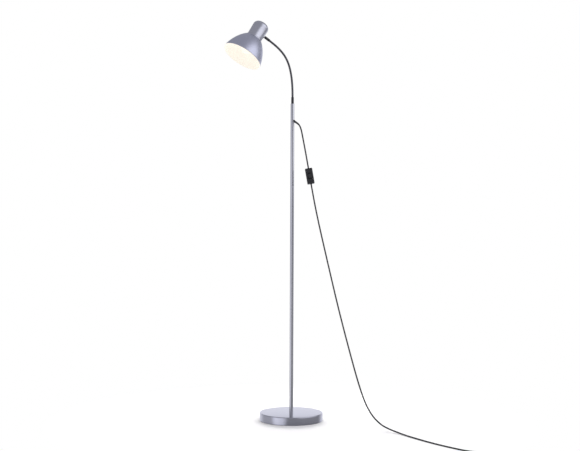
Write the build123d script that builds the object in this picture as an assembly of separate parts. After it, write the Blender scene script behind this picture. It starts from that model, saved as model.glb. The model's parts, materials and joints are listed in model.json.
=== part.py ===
from build123d import *
from math import atan2, cos, degrees, pi, radians, sin, tan
import os

# Gooseneck reading floor lamp, in millimetres and degrees. +Z is up. The origin is the middle of the base's
# underside, the pole stands on the Z axis and the neck arches over in the XZ plane, with the head towards -X.

# ---------------------------------------------------------------- driving sizes: base
base_radius = 115.0
base_height = 29.0
base_sheet = 1.2
base_edge_radius = 3.0
pad_thickness = 2.0
pad_reveal = 1.0
stud_radius = 4.0
stud_grip = 24.0
washer_radius = 12.0
washer_thickness = 2.0
nut_flats = 13.0
nut_height = 6.5
ballast_chamfer = 3.0
ballast_pocket_depth = 14.0
ballast_pocket_radius = 17.0

# ---------------------------------------------------------------- driving sizes: pole
pole_radius = 7.0
pole_wall = 1.0
pole_top = 1156.0
pole_sections = 3
coupler_length = 44.0
coupler_wall = 1.6
plug_length = 18.0

# ---------------------------------------------------------------- driving sizes: neck
neck_radius = 4.0
rib_depth = 0.5
rib_pitch = 2.0
rib_flank_share = 0.2
rib_crest_share = 0.5
neck_bore_radius = 2.6
thread_radius = 4.0
thread_length = 11.0
ferrule_radius = 4.9
ferrule_length = 24.0
ferrule_grip = 16.0
first_hinge_run = 37.0
hinge_spacing = 22.5
last_hinge_run = 46.6
rest_bends = (2.2, 2.6, 3.4, 4.9, 6.8, 9.2, 11.5, 9.4, 5.0, 4.5)
entry_lean = 3.5
hinge_travel = 12.0
hinge_clearance = 0.15

# ---------------------------------------------------------------- driving sizes: head cover
cap_foot_radius = 27.8
cap_shoulder_radius = 29.4
cap_foot_drop = 28.0
cap_shoulder_rise = 18.0
cap_crown_rise = 35.0
crown_flat_radius = 13.0
crown_bulge = 5.2
cap_sheet = 1.0
ring_radius = 6.2
ring_thickness = 2.4
locknut_flats = 11.0
locknut_height = 2.6
crown_nut_radius = 5.6
crown_nut_height = 6.0
crown_nut_edge = 2.5
crown_nut_thread = 3.6
nipple_grip = 9.0
nipple_bore_radius = 2.4

# ---------------------------------------------------------------- driving sizes: shade
collar_radius = 30.6
collar_height = 6.5
collar_wall = 5.4
collar_edge = 1.3
shade_sheet = 1.0
shade_radius = 73.5
shade_depth = 78.5
shoulder_radius = 35.5
shoulder_fillet = 5.5
dome_bulge = 5.0
rim_bead_radius = 1.3

# ---------------------------------------------------------------- driving sizes: lampholder and bulb
holder_radius = 19.8
holder_flange_radius = 24.0
holder_flange_thickness = 3.0
holder_skirt = 12.0
holder_wall = 1.8
holder_waist_radius = 17.0
holder_waist_drop = 8.0
holder_top_rise = 14.0
core_thickness = 11.0
shell_thread_radius = 13.6
shell_sheet = 0.4
shell_length = 21.0
contact_length = 17.0
contact_width = 7.0
contact_sheet = 0.6
contact_rise = 2.0
terminal_size = (6.0, 8.0, 5.0)
terminal_offset = 9.5
shade_ring_height = 8.0
shade_ring_wall = 5.5
shade_ring_chamfer = 1.6
bulb_cap_length = 20.0
bulb_tip_radius = 4.8
bulb_tip_height = 3.6
bulb_radius = 22.5
bulb_glass_length = 52.0
bulb_neck_radius = 12.4
bulb_shoulder_angle = 50.0
bulb_glass_wall = 0.9

# ---------------------------------------------------------------- driving sizes: cord, gland, switch and plug
cable_radius = 1.6
cable_bend = 3.4
cable_gap = 1.5
cable_arch = 8.2
cord_radius = 2.7
cord_floor_gap = 0.1
cord_heading = -60.6
gland_drop = 64.0
gland_dip = 30.0
gland_hole_radius = 3.5
gland_flange_radius = 4.7
gland_flange = 1.4
gland_step = 0.5
gland_tail = 8.0
gland_tip_radius = 3.1
gland_inside = 3.2
switch_length = 59.0
switch_width = 26.5
switch_depth = 20.0
switch_neck_radius = 4.6
switch_neck_length = 1.0
switch_corner = 3.0
switch_wall = 2.0
switch_edge = 2.0
switch_tilt = 11.5
switch_heading = -120.0
rocker_width = 11.0
rocker_radius = 10.2
rocker_pivot_depth = 5.0
rocker_crest = 1.2
rocker_foot_depth = 2.6
rocker_angle = 7.0
rocker_pin_radius = 1.2
screw_radius = 1.3
screw_head_radius = 2.4
screw_head_height = 1.0
screw_recess = 2.0
screw_boss_radius = 3.4
screw_spacing = 46.0
contact_gap = 2.0
plug_length_body = 36.0
plug_width = 26.0
plug_rear_width = 13.0
plug_taper_length = 25.0
plug_thickness = 13.7
plug_edge = 2.0
plug_pin_radius = 2.0
plug_pin_length = 19.0
plug_pin_spacing = 19.0
plug_pin_tip_edge = 1.0
plug_relief_length = 24.0
plug_relief_radius = 5.2
plug_relief_tip = 3.3

# ---------------------------------------------------------------- fits
fit_clearance = 0.05
screw_clearance = 0.3
sheet_clearance = 0.3
cut_margin = 1.0

# Cord route, chosen by hand. Hanging points are (distance from the pole's axis, height) in the upright plane
# that the cord leaves the pole in. The rest are (x, y, z).
upper_hang = ((24.3, 1082.0), (32.2, 1072.3), (37.9, 1057.4), (44.2, 1030.1), (54.1, 985.2))
switch_hang = (73.8, 889.7)
switch_lead_in = 28.0
switch_lead_out = 60.0
lower_hang = (
    (109.9, 726.0), (129.8, 650.5), (150.1, 575.0), (170.4, 500.0), (191.1, 425.0),
    (212.8, 351.0), (235.2, 278.0), (256.8, 209.0), (276.6, 150.0), (294.7, 104.0), (312.3, 70.0),
)
landing = ((163.0, -289.3, 44.0), (171.0, -308.0, 28.0), (178.0, -328.0, 16.5), (185.0, -352.0, 10.0),
           (191.0, -389.0, 4.7))
floor_run = ((190.0, -441.0), (188.0, -503.0), (188.0, -566.0), (192.0, -628.0), (200.0, -690.0),
             (211.0, -748.0))
plug_approach = (227.0, -802.0)
cord_end = (242.5, -840.0)

os.makedirs("parts", exist_ok=True)
nodes = {}
UPRIGHT = (Align.CENTER, Align.CENTER, Align.MIN)


# ---------------------------------------------------------------- helpers
def disc(radius, bottom, top, bore=0.0):
    """A round piece on the Z axis between two heights, with a bore where one is given."""
    body = Pos(0, 0, bottom) * Cylinder(radius, top - bottom, align=UPRIGHT)
    if bore:
        body -= Pos(0, 0, bottom - cut_margin) * Cylinder(bore, top - bottom + 2 * cut_margin, align=UPRIGHT)
    return body


def hexagon(flats, bottom, top, bore):
    """A hexagon nut on the Z axis between two heights."""
    body = Pos(0, 0, bottom) * extrude(RegularPolygon(flats / 2, 6, major_radius=False), top - bottom)
    return body - disc(bore, bottom - cut_margin, top + cut_margin)


def turned(*outline):
    """A turned piece: the outline's (radius, height) corners, closed and revolved about the Z axis."""
    corners = [(radius, 0, height) for radius, height in outline]
    face = make_face(Polyline(*corners, close=True))
    return revolve(face, Axis.Z)


def corner_radii(points):
    """The bend radius at each inner point: as large as its two runs allow."""
    radii = []
    for before, here, after in zip(points, points[1:], points[2:]):
        run_in, run_out = here - before, after - here
        turn = radians(run_in.get_angle(run_out))
        radii.append(0.45 * min(run_in.length, run_out.length) / tan(turn / 2))
    return radii


def tube(points, radius, radii):
    """A round cable or cord along straight runs joined by tangent arcs."""
    path = FilletPolyline(*points, radius=radii)
    return sweep(Plane(origin=path @ 0, z_dir=path % 0) * Circle(radius), path=path), path


def hang(distance, height):
    """A point in the upright plane that the cord hangs in."""
    heading = radians(cord_heading)
    return Vector(distance * cos(heading), distance * sin(heading), height)


# ---------------------------------------------------------------- frames
# The neck is a chain of straight lengths. Each hinge turns the next length by its rest bend.
neck_hinges = []
neck_angles = [0.0]
point = Vector(0, 0, pole_top + first_hinge_run)
for index, bend in enumerate(rest_bends):
    neck_hinges.append(point)
    neck_angles.append(neck_angles[-1] + bend)
    run = hinge_spacing if index < len(rest_bends) - 1 else last_hinge_run
    angle = radians(neck_angles[-1])
    point = point + Vector(-sin(angle), 0, cos(angle)) * run
neck_end = point
head_tilt = 90.0 - neck_angles[-1] + entry_lean
neck_directions = [Vector(-sin(radians(a)), 0, cos(radians(a))) for a in neck_angles]

# The head's frame: Z along the shade's axis from the opening to the crown, X towards the pole, origin on the
# axis where the neck's line meets it. The neck leans a little from the square to that axis.
cap_rise_share = cap_foot_drop / (cap_foot_drop + cap_shoulder_rise)
cap_taper = degrees(atan2(cap_shoulder_radius - cap_foot_radius, cap_foot_drop + cap_shoulder_rise))
cap_wall_radius = cap_foot_radius + (cap_shoulder_radius - cap_foot_radius) * cap_rise_share
entry_reach = cap_wall_radius / cos(radians(entry_lean))
head_axis = Vector(sin(radians(head_tilt)), 0, cos(radians(head_tilt)))
head_side = Vector(cos(radians(head_tilt)), 0, -sin(radians(head_tilt)))
head_origin = neck_end + neck_directions[-1] * entry_reach
head = Plane(origin=head_origin, x_dir=head_side, z_dir=head_axis)
entry = Plane(origin=head_origin, x_dir=(0, 1, 0), z_dir=neck_directions[-1] * -1)

# The lock nut's corners seat on the cover's curved inside. The neck's thread ends flush with the nut.
nut_corner = locknut_flats / 2 / cos(pi / 6)
nut_seat = ((cap_wall_radius - cap_sheet) ** 2 - nut_corner ** 2) ** 0.5
nut_front = nut_seat - nut_corner * sin(radians(entry_lean + cap_taper)) - fit_clearance
nut_back = nut_front - locknut_height

shade_top = -cap_foot_drop - collar_height
shade_opening = shade_top - shade_depth
pole_bore = pole_radius - pole_wall
hinge_count = len(rest_bends)


# ---------------------------------------------------------------- base
def make_base():
    cover_inside = base_radius - base_sheet
    roof = base_height - base_sheet
    cover = disc(base_radius, pad_reveal, base_height)
    cover = fillet(cover.edges().sort_by(Axis.Z)[-1], base_edge_radius)
    hollow = disc(cover_inside, pad_reveal - cut_margin, roof)
    hollow = fillet(hollow.edges().sort_by(Axis.Z)[-1], base_edge_radius - base_sheet)
    cover -= hollow
    cover -= disc(stud_radius + screw_clearance, 0, base_height + cut_margin)
    nodes["base_cover"] = cover

    ballast_radius = cover_inside - 2 * sheet_clearance
    weight = disc(ballast_radius, pad_thickness, roof)
    weight = chamfer(weight.edges().sort_by(Axis.Z)[-1], ballast_chamfer)
    weight -= disc(stud_radius + screw_clearance, 0, base_height)
    pocket_roof = pad_thickness + ballast_pocket_depth
    weight -= disc(ballast_pocket_radius, 0, pocket_roof)
    nodes["base_weight"] = weight
    nodes["base_pad"] = disc(cover_inside - sheet_clearance, 0, pad_thickness)

    washer_bottom = pocket_roof - washer_thickness
    nut_bottom = washer_bottom - nut_height
    nodes["base_washer"] = disc(washer_radius, washer_bottom, pocket_roof, stud_radius + screw_clearance)
    nodes["base_nut"] = hexagon(nut_flats, nut_bottom, washer_bottom, stud_radius + fit_clearance)
    stud_foot = (nut_bottom + pad_thickness) / 2
    nodes["foot_stud"] = disc(stud_radius, stud_foot, base_height + stud_grip)


# ---------------------------------------------------------------- pole
def make_pole():
    section = (pole_top - base_height) / pole_sections
    joints = [base_height + section * index for index in range(pole_sections + 1)]
    names = ("pole_lower", "pole_middle", "pole_upper")
    for name, bottom, top in zip(names, joints, joints[1:]):
        nodes[name] = disc(pole_radius, bottom, top, pole_bore)
    nodes["pole_upper"] -= gland_drill(gland_hole_radius)
    insert = pole_bore - fit_clearance
    for name, height in zip(("pole_coupler_lower", "pole_coupler_upper"), joints[1:]):
        nodes[name] = disc(insert, height - coupler_length / 2, height + coupler_length / 2,
                           insert - coupler_wall)
    foot_top = base_height + stud_grip
    nodes["pole_foot_plug"] = disc(insert, base_height, foot_top, stud_radius + fit_clearance)
    nodes["pole_top_plug"] = disc(insert, pole_top - plug_length, pole_top, thread_radius + fit_clearance)


# ---------------------------------------------------------------- neck
def ribbed(length):
    """A length of the wound neck along +X, with flat ends in its valleys and the cable's bore."""
    ribs = max(1, round(length / rib_pitch))
    pitch = length / ribs
    valley = neck_radius - rib_depth
    crest_end = rib_flank_share + rib_crest_share
    shares = (0.0, rib_flank_share, crest_end, crest_end + rib_flank_share)
    heights = (valley, neck_radius, neck_radius, valley)
    sections = []
    for rib in range(ribs):
        for share, radius in zip(shares, heights):
            sections.append(Plane(origin=((rib + share) * pitch, 0, 0), z_dir=(1, 0, 0)) * Circle(radius))
    sections.append(Plane(origin=(length, 0, 0), z_dir=(1, 0, 0)) * Circle(valley))
    body = loft(sections, ruled=True)
    bore = Cylinder(neck_bore_radius, length + 2 * cut_margin, rotation=(0, 90, 0))
    return body - Pos(length / 2, 0, 0) * bore


def along_neck(solid, start, direction):
    """Places a solid made along +X so that it starts at a point of the arch and follows a direction."""
    return Plane(origin=start, x_dir=direction, z_dir=(0, 1, 0)).location * solid


def hinge_gap(index):
    """The gap at a hinge, so that the flat ends stay clear at the limit of its travel."""
    swing = radians(rest_bends[index] + hinge_travel)
    return (neck_radius - rib_depth) * swing + hinge_clearance


def ferrule(thread):
    """An end ferrule on the Z axis: its thread below zero, its collar above, its socket at the top."""
    body = disc(thread_radius, -thread, 0) + disc(ferrule_radius, 0, ferrule_length)
    body = chamfer(body.edges().sort_by(Axis.Z)[-1], (ferrule_radius - neck_radius) / 2)
    body -= disc(neck_bore_radius, -thread - cut_margin, ferrule_length)
    return body - disc(neck_radius + fit_clearance, ferrule_length - ferrule_grip, ferrule_length + cut_margin)


def make_neck():
    foot = Vector(0, 0, pole_top)
    nodes["neck_ferrule_lower"] = Pos(0, 0, pole_top) * ferrule(thread_length)
    stub_start = foot + Vector(0, 0, ferrule_length - ferrule_grip)
    stub_length = (neck_hinges[0] - stub_start).length - hinge_gap(0) / 2
    nodes["neck_stub_lower"] = along_neck(ribbed(stub_length), stub_start, neck_directions[0])
    for index in range(1, hinge_count):
        direction = neck_directions[index]
        start = neck_hinges[index - 1] + direction * (hinge_gap(index - 1) / 2)
        end = neck_hinges[index] - direction * (hinge_gap(index) / 2)
        nodes[f"neck_link_{index}"] = along_neck(ribbed((end - start).length), start, direction)

    direction = neck_directions[-1]
    last = hinge_count - 1
    upper_face = neck_end - direction * ring_thickness
    stub_start = neck_hinges[last] + direction * (hinge_gap(last) / 2)
    stub_end = upper_face - direction * (ferrule_length - ferrule_grip)
    nodes["neck_stub_upper"] = along_neck(ribbed((stub_end - stub_start).length), stub_start, direction)
    towards_neck = Plane(origin=upper_face, x_dir=(0, 1, 0), z_dir=direction * -1)
    nodes["neck_ferrule_upper"] = towards_neck.location * ferrule(entry_reach + ring_thickness - nut_back)


# ---------------------------------------------------------------- head cover
def cap_form(inset):
    """The cover's outside, or its inside when it is inset by the sheet."""
    foot = -cap_foot_drop - (cut_margin if inset else 0)
    crown = cap_crown_rise - inset
    shoulder = (cap_shoulder_radius - inset, 0, cap_shoulder_rise)
    flat = (crown_flat_radius, 0, crown)
    chord = Vector(*flat) - Vector(*shoulder)
    outward = Vector(chord.Z, 0, -chord.X).normalized()
    bulge = (Vector(*shoulder) + Vector(*flat)) / 2 + outward * crown_bulge
    wall = Polyline((0, 0, crown), (0, 0, foot), (cap_foot_radius - inset, 0, foot), shoulder)
    edge = ThreePointArc(shoulder, bulge, flat)
    return revolve(make_face([wall, edge, Line(flat, (0, 0, crown))]), Axis.Z)


def make_cover():
    cover = cap_form(0) - cap_form(cap_sheet)
    cover -= disc(thread_radius + screw_clearance, 0, cap_crown_rise + cut_margin)
    neck_hole = disc(thread_radius + screw_clearance, 0, entry_reach + ring_thickness)
    nodes["head_cap"] = head.location * cover - entry.location * neck_hole

    ring = disc(ring_radius, entry_reach - cut_margin, entry_reach + ring_thickness,
                thread_radius + fit_clearance)
    nodes["neck_ring"] = entry.location * ring - head.location * cap_form(-fit_clearance)
    nut = hexagon(locknut_flats, nut_back, nut_front, thread_radius + fit_clearance)
    nodes["neck_locknut"] = entry.location * nut

    nut_top = cap_crown_rise + crown_nut_height
    thread_top = cap_crown_rise + crown_nut_thread
    knob = disc(crown_nut_radius, cap_crown_rise, nut_top)
    knob = fillet(knob.edges().sort_by(Axis.Z)[-1], crown_nut_edge)
    knob -= disc(thread_radius + fit_clearance, cap_crown_rise - cut_margin, thread_top)
    nodes["crown_nut"] = head.location * knob
    nipple = disc(thread_radius, holder_top_rise - nipple_grip, thread_top, nipple_bore_radius)
    nodes["holder_nipple"] = head.location * nipple


# ---------------------------------------------------------------- shade
def shade_form(inset):
    """The shade's outside, or its inside when it is inset by the sheet."""
    top = shade_top - inset
    foot = shade_opening - (cut_margin if inset else 0)
    rim = (shade_radius - inset, 0, foot)
    shoulder = (shoulder_radius - inset, 0, top)
    middle = ((shade_radius + shoulder_radius) / 2 - inset + dome_bulge, 0, (top + shade_opening) / 2)
    wall = ThreePointArc(rim, middle, shoulder)
    inner = Polyline(shoulder, (0, 0, top), (0, 0, foot), rim)
    form = revolve(make_face([wall, inner]), Axis.Z)
    return fillet(form.edges().sort_by(Axis.Z)[-1], shoulder_fillet - inset)


def make_shade():
    shell = shade_form(0) - shade_form(shade_sheet)
    bead = Pos(0, 0, shade_opening) * Torus(shade_radius - shade_sheet / 2, rim_bead_radius)
    shell += bead
    hole = holder_radius + screw_clearance
    shell -= disc(hole, shade_top - shade_sheet - cut_margin, shade_top + cut_margin)
    nodes["shade"] = head.location * shell

    collar = disc(collar_radius, shade_top, -cap_foot_drop, collar_radius - collar_wall)
    outer_edges = collar.edges().filter_by(GeomType.CIRCLE).group_by(SortBy.RADIUS)[-1]
    nodes["shade_collar"] = head.location * fillet(outer_edges, collar_edge)

    ring_top = shade_top - shade_sheet
    inner = holder_radius + fit_clearance
    ring = disc(inner + shade_ring_wall, ring_top - shade_ring_height, ring_top, inner)
    lower_edges = ring.edges().filter_by(GeomType.CIRCLE).group_by(Axis.Z)[0]
    ring = chamfer(lower_edges.sort_by(SortBy.RADIUS)[-1], shade_ring_chamfer)
    nodes["shade_ring"] = head.location * ring


# ---------------------------------------------------------------- lampholder
core_top = -holder_waist_drop - fit_clearance
core_bottom = core_top - core_thickness


def make_lampholder():
    skirt_bottom = shade_top - holder_skirt
    shell = disc(holder_radius, skirt_bottom, -holder_waist_drop)
    shell += disc(holder_flange_radius, shade_top, shade_top + holder_flange_thickness)
    shell -= disc(holder_radius - holder_wall, skirt_bottom - cut_margin, cut_margin)
    nodes["holder_shell"] = head.location * shell

    waist_inside = holder_waist_radius - holder_wall
    roof = holder_top_rise - holder_wall
    top = disc(holder_waist_radius, -holder_waist_drop, holder_top_rise)
    top = fillet(top.edges().sort_by(Axis.Z)[-1], holder_wall)
    top += disc(holder_radius, -holder_waist_drop, -holder_waist_drop + holder_wall)
    top -= disc(waist_inside, -holder_waist_drop - cut_margin, roof)
    boss_bottom = holder_top_rise - nipple_grip
    top += disc(thread_radius + holder_wall, boss_bottom, roof)
    top -= disc(thread_radius + fit_clearance, boss_bottom - cut_margin, holder_top_rise + cut_margin)
    top -= Pos(terminal_offset, 0, 0) * disc(cable_radius + screw_clearance, 0, holder_top_rise + cut_margin)
    nodes["holder_cap"] = head.location * top

    core = disc(holder_radius - holder_wall - fit_clearance, core_bottom, core_top)
    nodes["holder_core"] = head.location * core

    thread = disc(shell_thread_radius, core_bottom - shell_length, core_bottom,
                  shell_thread_radius - shell_sheet)
    nodes["screw_shell"] = head.location * thread
    strip = Pos(0, 0, core_bottom) * Box(contact_length, contact_width, contact_sheet,
                                         align=(Align.CENTER, Align.CENTER, Align.MAX))
    strip += disc(contact_width / 2, core_bottom - contact_rise, core_bottom)
    nodes["centre_contact"] = head.location * strip

    blocks = []
    for side in (-1, 1):
        block = Pos(side * terminal_offset, 0, core_top) * Box(*terminal_size, align=UPRIGHT)
        blocks.append(head.location * block)
    nodes["holder_terminals"] = Compound(children=blocks)


# ---------------------------------------------------------------- bulb
bulb_tip = core_bottom - contact_rise
bulb_cap_top = bulb_tip - bulb_tip_height
bulb_cap_bottom = bulb_cap_top - bulb_cap_length
bulb_cap_radius = shell_thread_radius - shell_sheet - fit_clearance


def bulb_envelope(inset, neck_top):
    """The glass's outside, or its inside when it is inset by the wall: a neck that runs into a ball."""
    middle = bulb_cap_bottom - bulb_glass_length + bulb_radius
    ball_radius = bulb_radius - inset
    neck_radius_here = bulb_neck_radius - inset
    shoulder = radians(bulb_shoulder_angle)
    meeting = (ball_radius * sin(shoulder), middle + ball_radius * cos(shoulder))
    throat = meeting[1] + (meeting[0] - neck_radius_here) * tan(shoulder)
    neck = turned((0, neck_top), (neck_radius_here, neck_top), (neck_radius_here, throat), meeting,
                  (0, meeting[1]))
    return Pos(0, 0, middle) * Sphere(ball_radius) + neck


def make_bulb():
    contact = turned((0, bulb_tip), (bulb_tip_radius, bulb_tip), (bulb_cap_radius, bulb_cap_top),
                     (0, bulb_cap_top))
    nodes["bulb_contact"] = head.location * contact
    nodes["bulb_cap"] = head.location * disc(bulb_cap_radius, bulb_cap_bottom, bulb_cap_top,
                                             bulb_neck_radius + fit_clearance)
    glass = bulb_envelope(0, bulb_cap_top) - bulb_envelope(bulb_glass_wall, bulb_cap_top + cut_margin)
    nodes["bulb_glass"] = head.location * glass


# ---------------------------------------------------------------- cord gland and inner cable
gland_direction = hang(cos(radians(gland_dip)), -sin(radians(gland_dip)))
gland_seat = hang(pole_radius, pole_top - gland_drop)
gland_tip = gland_seat + gland_direction * gland_tail
gland_frame = Plane(origin=gland_seat, z_dir=gland_direction)


def gland_drill(radius):
    """The hole for the gland through the pole's wall, along the gland's axis."""
    return gland_frame.location * disc(radius, -pole_radius, gland_tail)


def make_gland():
    barrel = disc(gland_hole_radius - fit_clearance, -gland_inside, gland_flange)
    flange = disc(gland_flange_radius, -gland_inside, gland_flange)
    tail = turned((0, 0), (gland_flange_radius - gland_step, gland_flange),
                  (gland_tip_radius, gland_tail), (0, gland_tail))
    outside = gland_frame.location * (flange + tail) - disc(pole_radius + fit_clearance, 0, pole_top)
    body = gland_frame.location * barrel + outside
    body -= gland_frame.location * disc(cable_radius + fit_clearance, -pole_radius, gland_tail + cut_margin)
    nodes["cord_gland"] = body


def make_inner_cable():
    turn_point = gland_seat - gland_direction * (pole_radius / cos(radians(gland_dip)))
    side_rise = head_origin - neck_directions[-1] * (holder_waist_radius + cable_radius + cable_gap)
    over_top = head_axis * (holder_top_rise + cable_arch)
    drop = head_origin + head_side * terminal_offset
    terminal_top = drop + head_axis * (core_top + terminal_size[2])
    points = [gland_tip, turn_point, *neck_hinges, side_rise, side_rise + over_top, drop + over_top,
              terminal_top]
    radii = corner_radii(points)
    # The cable turns sharply only where it enters the pole and inside the head's cover.
    for corner in (0, -3, -2, -1):
        radii[corner] = cable_bend
    nodes["inner_cable"], path = tube(points, cable_radius, radii)
    print("inner cable radii", [round(radius, 1) for radius in radii], "length", round(path.length, 1))


# ---------------------------------------------------------------- cord
def switch_point(offset):
    """A point on the switch's long axis, counted downwards from its middle."""
    tilt = radians(switch_tilt)
    return hang(switch_hang[0] + offset * sin(tilt), switch_hang[1] - offset * cos(tilt))


def make_cord():
    floor_height = cord_radius + cord_floor_gap
    switch_top, switch_foot = -switch_length / 2, switch_length / 2
    upper = [gland_tip, *[hang(*pair) for pair in upper_hang]]
    upper += [switch_point(switch_top - switch_lead_in), switch_point(switch_top)]
    lower = [switch_point(switch_foot), switch_point(switch_foot + switch_lead_out)]
    lower += [hang(*pair) for pair in lower_hang]
    lower += [Vector(*place) for place in landing]
    lower += [Vector(*place, floor_height) for place in floor_run]
    lower += [Vector(*plug_approach, plug_thickness / 2), Vector(*cord_end, plug_thickness / 2)]
    for name, points in (("cord_upper", upper), ("cord_lower", lower)):
        radii = corner_radii(points)
        nodes[name], path = tube(points, cord_radius, radii)
        expected = pi * cord_radius ** 2 * path.length
        print(name, "length", round(path.length, 1), "volume share", round(nodes[name].volume / expected, 4))
        print("  radii", [round(radius) for radius in radii])


# ---------------------------------------------------------------- switch
def make_switch():
    axis = (switch_point(-1) - switch_point(1)).normalized()
    outlook = Vector(cos(radians(switch_heading)), sin(radians(switch_heading)), 0)
    face = (outlook - axis * outlook.dot(axis)).normalized()
    frame = Plane(origin=switch_point(0), x_dir=axis.cross(face), z_dir=face)

    body_length = switch_length - 2 * switch_neck_length
    outline = RectangleRounded(switch_width, body_length, switch_corner)
    case = Pos(0, 0, -switch_depth / 2) * extrude(outline, switch_depth)
    flat_faces = case.faces().sort_by(Axis.Z)
    case = fillet(flat_faces[0].edges() + flat_faces[-1].edges(), switch_edge)
    case += Cylinder(switch_neck_radius, switch_length, rotation=(90, 0, 0))
    room = Box(switch_width - 2 * switch_wall, body_length - 2 * switch_wall, switch_depth - 2 * switch_wall)
    back, screw_end = -switch_depth / 2, switch_depth / 2 - 2 * switch_wall
    head_face = back + screw_recess
    holes, screws = [], []
    for side in (-1, 1):
        place = Pos(0, side * screw_spacing / 2, 0)
        room -= place * Cylinder(screw_boss_radius, switch_depth)
        holes.append(place * disc(screw_radius + fit_clearance, back, screw_end))
        holes.append(place * disc(screw_head_radius + fit_clearance, back - cut_margin, head_face))
        screw = disc(screw_radius, head_face - screw_head_height, screw_end)
        screw += disc(screw_head_radius, head_face - screw_head_height, head_face)
        screws.append(frame.location * (place * screw))
    nodes["switch_screws"] = Compound(children=screws)

    pivot = switch_depth / 2 - rocker_pivot_depth
    pin_length = switch_width - switch_wall
    window = Box(rocker_width + 2 * sheet_clearance, 2 * (rocker_radius + sheet_clearance), switch_depth,
                 align=UPRIGHT)
    pin_seat = Cylinder(rocker_pin_radius + fit_clearance, pin_length + 2 * fit_clearance, rotation=(0, 90, 0))
    case -= [room, Pos(0, 0, pivot) * window, Pos(0, 0, pivot) * pin_seat, *holes]
    half = Box(2 * switch_length, 2 * switch_length, switch_length, align=UPRIGHT)
    nodes["switch_shell_front"] = frame.location * (case & half)
    nodes["switch_shell_back"] = frame.location * (case - half)
    pin = Cylinder(rocker_pin_radius, pin_length, rotation=(0, 90, 0))
    nodes["rocker_pin"] = frame.location * (Pos(0, 0, pivot) * pin)

    # The rocker is round about its pin, cut flat below, with two faces that meet in a shallow valley on top.
    drum = Cylinder(rocker_radius, rocker_width, rotation=(0, 90, 0))
    crest = rocker_pivot_depth + rocker_crest
    wide, long = 2 * rocker_width, 4 * rocker_radius
    rocker = drum & Pos(0, 0, -rocker_foot_depth) * Box(wide, long, long, align=UPRIGHT)
    for side, edge in ((-1, Align.MAX), (1, Align.MIN)):
        lid = Box(wide, long, rocker_radius, align=(Align.CENTER, edge, Align.MIN))
        rocker -= Pos(0, 0, crest) * (Rot(side * rocker_angle, 0, 0) * lid)
    rocker -= Cylinder(rocker_pin_radius + fit_clearance, wide, rotation=(0, 90, 0))
    rocker = Pos(0, 0, pivot) * (Rot(-rocker_angle, 0, 0) * rocker)
    nodes["switch_rocker"] = frame.location * rocker

    # Two contact strips lie on the back shell, with a gap between their tips that the rocker closes.
    outer_end = screw_spacing / 2 - screw_boss_radius - sheet_clearance
    strip = Box(contact_width, outer_end - contact_gap / 2, contact_sheet, align=UPRIGHT)
    middle = (outer_end + contact_gap / 2) / 2
    strips = [frame.location * (Pos(0, side * middle, back + switch_wall) * strip) for side in (-1, 1)]
    nodes["switch_contacts"] = Compound(children=strips)
    print("rocker pivot", [round(value, 3) for value in (frame.location * Pos(0, 0, pivot)).position],
          "axis", [round(value, 5) for value in frame.x_dir])


# ---------------------------------------------------------------- plug
def make_plug():
    approach, end = Vector(*plug_approach, 0), Vector(*cord_end, 0)
    forward = (end - approach).normalized()
    frame = Plane(origin=end + Vector(0, 0, plug_thickness / 2), x_dir=forward, z_dir=(0, 0, 1))
    relief = turned((0, 0), (plug_relief_tip, 0), (plug_relief_radius, plug_relief_length),
                    (0, plug_relief_length))
    nodes["plug_relief"] = frame.location * (Rot(0, 90, 0) * relief)

    rear, front = plug_relief_length, plug_relief_length + plug_length_body
    waist = rear + plug_taper_length
    outline = Polyline((rear, -plug_rear_width / 2), (waist, -plug_width / 2), (front, -plug_width / 2),
                       (front, plug_width / 2), (waist, plug_width / 2), (rear, plug_rear_width / 2),
                       close=True)
    body = Pos(0, 0, -plug_thickness / 2) * extrude(make_face(outline), plug_thickness)
    body = fillet(body.edges().filter_by(Axis.Z, reverse=True), plug_edge)
    nodes["plug_body"] = frame.location * body
    pins = []
    for side in (-1, 1):
        pin = Rot(0, 90, 0) * disc(plug_pin_radius, front, front + plug_pin_length)
        pin = fillet(pin.edges().sort_by(Axis.X)[-1], plug_pin_tip_edge)
        pins.append(frame.location * (Pos(0, side * plug_pin_spacing / 2, 0) * pin))
    nodes["plug_pins"] = Compound(children=pins)
    for side in (-1, 1):
        root = frame.location * Pos(front, side * plug_pin_spacing / 2, 0)
        print("plug pin root", [round(value, 3) for value in root.position],
              "direction", [round(value, 5) for value in forward])


make_base()
make_pole()
make_neck()
make_cover()
make_shade()
make_lampholder()
make_bulb()
make_gland()
make_inner_cable()
make_cord()
make_switch()
make_plug()

print("head tilt", round(head_tilt, 2), "head origin", [round(value, 2) for value in head_origin])
for index, (hinge, direction) in enumerate(zip(neck_hinges, neck_directions), 1):
    print("neck hinge", index, [round(value, 3) for value in hinge],
          "tangent angle", round(degrees(atan2(-direction.X, direction.Z)) + rest_bends[index - 1] / 2, 3))
for name, shape in nodes.items():
    export_step(shape, f"parts/{name}.step")
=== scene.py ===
import json
import math

import bmesh
import bpy
from mathutils import Matrix, Vector


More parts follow.
